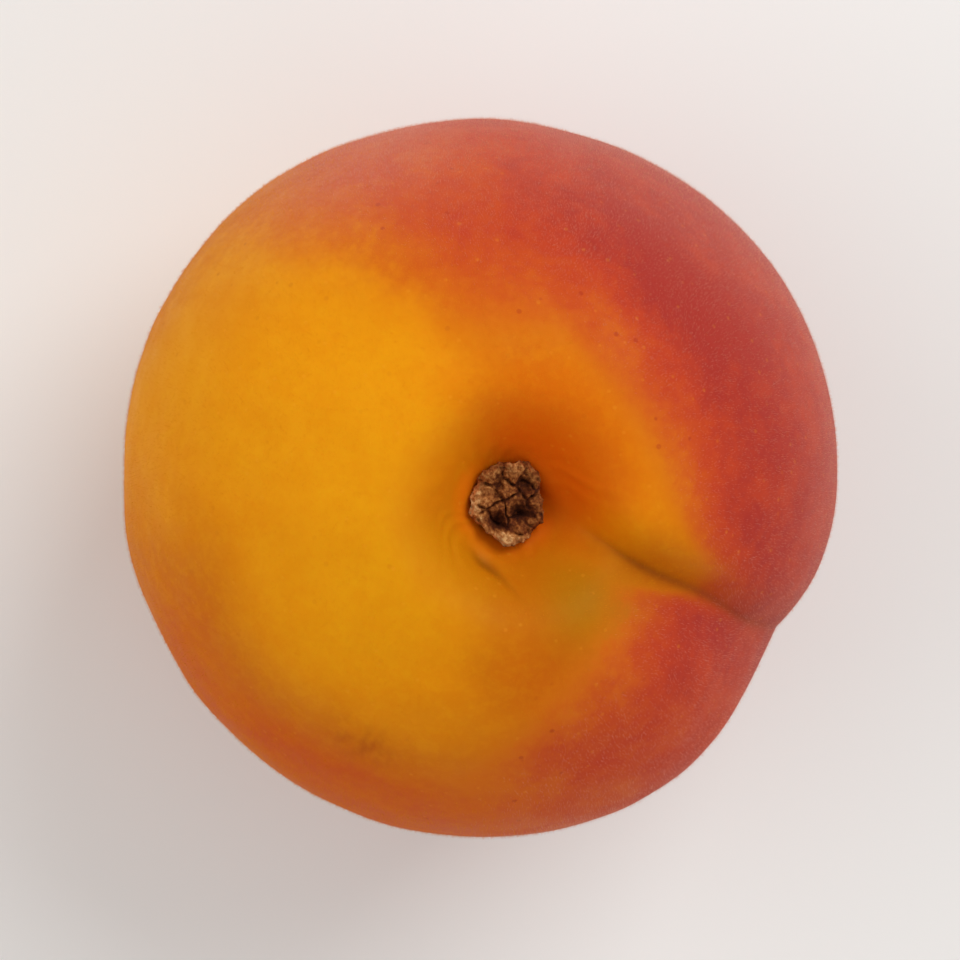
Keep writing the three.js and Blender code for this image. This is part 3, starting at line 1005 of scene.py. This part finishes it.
def stub_side(rim, bottom, angles, down):
    """A ring of points of the side, from 0 at the rim down to 1 at the bottom, and its lightness."""
    height = rim[:, 2] + (bottom - rim[:, 2]) * down
    ribs = STUB_RIB_HEIGHT * np.cos(STUB_RIBS * angles + 3 * np.cos(2 * angles)) * (1 - down)
    narrow = 1 - 0.3 * smooth(down, 0, 0.75) + 0.06 * np.sin(math.pi * down) + ribs
    ring = np.stack([rim[:, 0] * narrow, rim[:, 1] * narrow, height], axis=1)
    return ring, STUB_LIGHTNESS - 0.2 * down + 4 * ribs


def make_stub(axis):
    """The torn woody stub: its top from the middle out, then its side down into the skin."""
    low, high = box_mm(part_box("stem_stub"))
    foot = high[2] - STUB_HEIGHT
    plates = stub_plates()
    angles = 2 * math.pi * np.arange(STUB_COLUMNS) / STUB_COLUMNS
    outline = ripples(angles, STUB_OUTLINE)
    rings, lights = [], []
    for share in np.linspace(0.03, 1, STUB_TOP_RINGS):
        radius = share * STUB_RADIUS * (1 + smooth(share, 0.3, 1) * outline)
        x, y = radius * np.cos(angles), radius * np.sin(angles)
        height, light = stub_top(x, y, plates)
        height -= STUB_RIM_DROP * smooth(share, 0.9, 1)
        rings.append(np.stack([x, y, height], axis=1))
        lights.append(light)
    rim = rings[-1]
    for down in np.linspace(0, 1, STUB_SIDE_RINGS + 1)[1:]:
        ring, light = stub_side(rim, low[2] - foot, angles, down)
        rings.append(ring)
        lights.append(light)
    grid = np.array(rings) + [axis[0], axis[1], foot]
    grid[..., 2] = np.minimum(grid[..., 2], high[2])
    piece = closed_piece("stub", grid)
    # the wood's lightness, with painted shade in its cracks and pits
    add_attribute(piece, "relief", np.array(lights))
    return finish_piece(piece, stub_material(), "stub_wood", "stem_stub")


# ---------------------------------------------------------------- stage, light and camera

def make_floor():
    bpy.ops.mesh.primitive_plane_add(size=FLOOR_SIZE)
    floor = bpy.context.object
    floor.name = "floor"
    floor.data.materials.append(floor_material())


def make_world():
    world = bpy.data.worlds.new("studio")
    world.use_nodes = True
    background = world.node_tree.nodes["Background"]
    background.inputs["Color"].default_value = STUDIO_COLOR
    background.inputs["Strength"].default_value = STUDIO_STRENGTH
    bpy.context.scene.world = world


def make_lamp(name, place, target, size, power):
    light = bpy.data.lights.new(name, "AREA")
    light.size = size
    light.energy = power
    lamp = bpy.data.objects.new(name, light)
    bpy.context.scene.collection.objects.link(lamp)
    lamp.location = place
    lamp.rotation_euler = (target - place).to_track_quat("-Z", "Y").to_euler()


def from_angles(azimuth, lean):
    """A unit vector that leans that far from straight up towards an azimuth."""
    return Vector((math.sin(lean) * math.cos(azimuth), math.sin(lean) * math.sin(azimuth),
                   math.cos(lean)))


def make_camera(target, radius):
    """The camera, aimed at a fruit of that radius, and the image's directions right and up."""
    back = from_angles(VIEW_AZIMUTH, VIEW_LEAN)
    suture = Vector((1, 0, 0)) - back * back.x
    suture.normalize()
    beside = back.cross(suture)
    right = suture * math.cos(-SUTURE_IN_IMAGE) + beside * math.sin(-SUTURE_IN_IMAGE)
    up = back.cross(right)
    half_view = SENSOR / 2 / LENS
    distance = radius / math.sin(math.atan(FRUIT_SHARE * half_view))
    target = target + right * AIM_RIGHT * MM - up * AIM_DOWN * MM
    data = bpy.data.cameras.new("camera")
    data.lens = LENS
    data.sensor_width = SENSOR
    data.clip_start = NEAREST_VIEW
    camera = bpy.data.objects.new("camera", data)
    bpy.context.scene.collection.objects.link(camera)
    rotation = [[right[k], up[k], back[k]] for k in range(3)]
    camera.matrix_world = (Matrix.Translation(target + back * distance)
                           @ Matrix(rotation).to_4x4())
    bpy.context.scene.camera = camera
    return right, up


skin, stem_axis = make_skin()
make_stub(stem_axis)
make_down(skin, stem_axis)

make_floor()
make_world()
centre = (cad_low + cad_high) / 2
image_right, image_up = make_camera(centre, (cad_high.y - cad_low.y) / 2)
for name, ((right, up, above), size, power) in LAMPS.items():
    place = centre + image_right * right + image_up * up + Vector((0, 0, above))
    make_lamp(name, place, centre, size, power)
bpy.context.scene.view_settings.view_transform = "Standard"
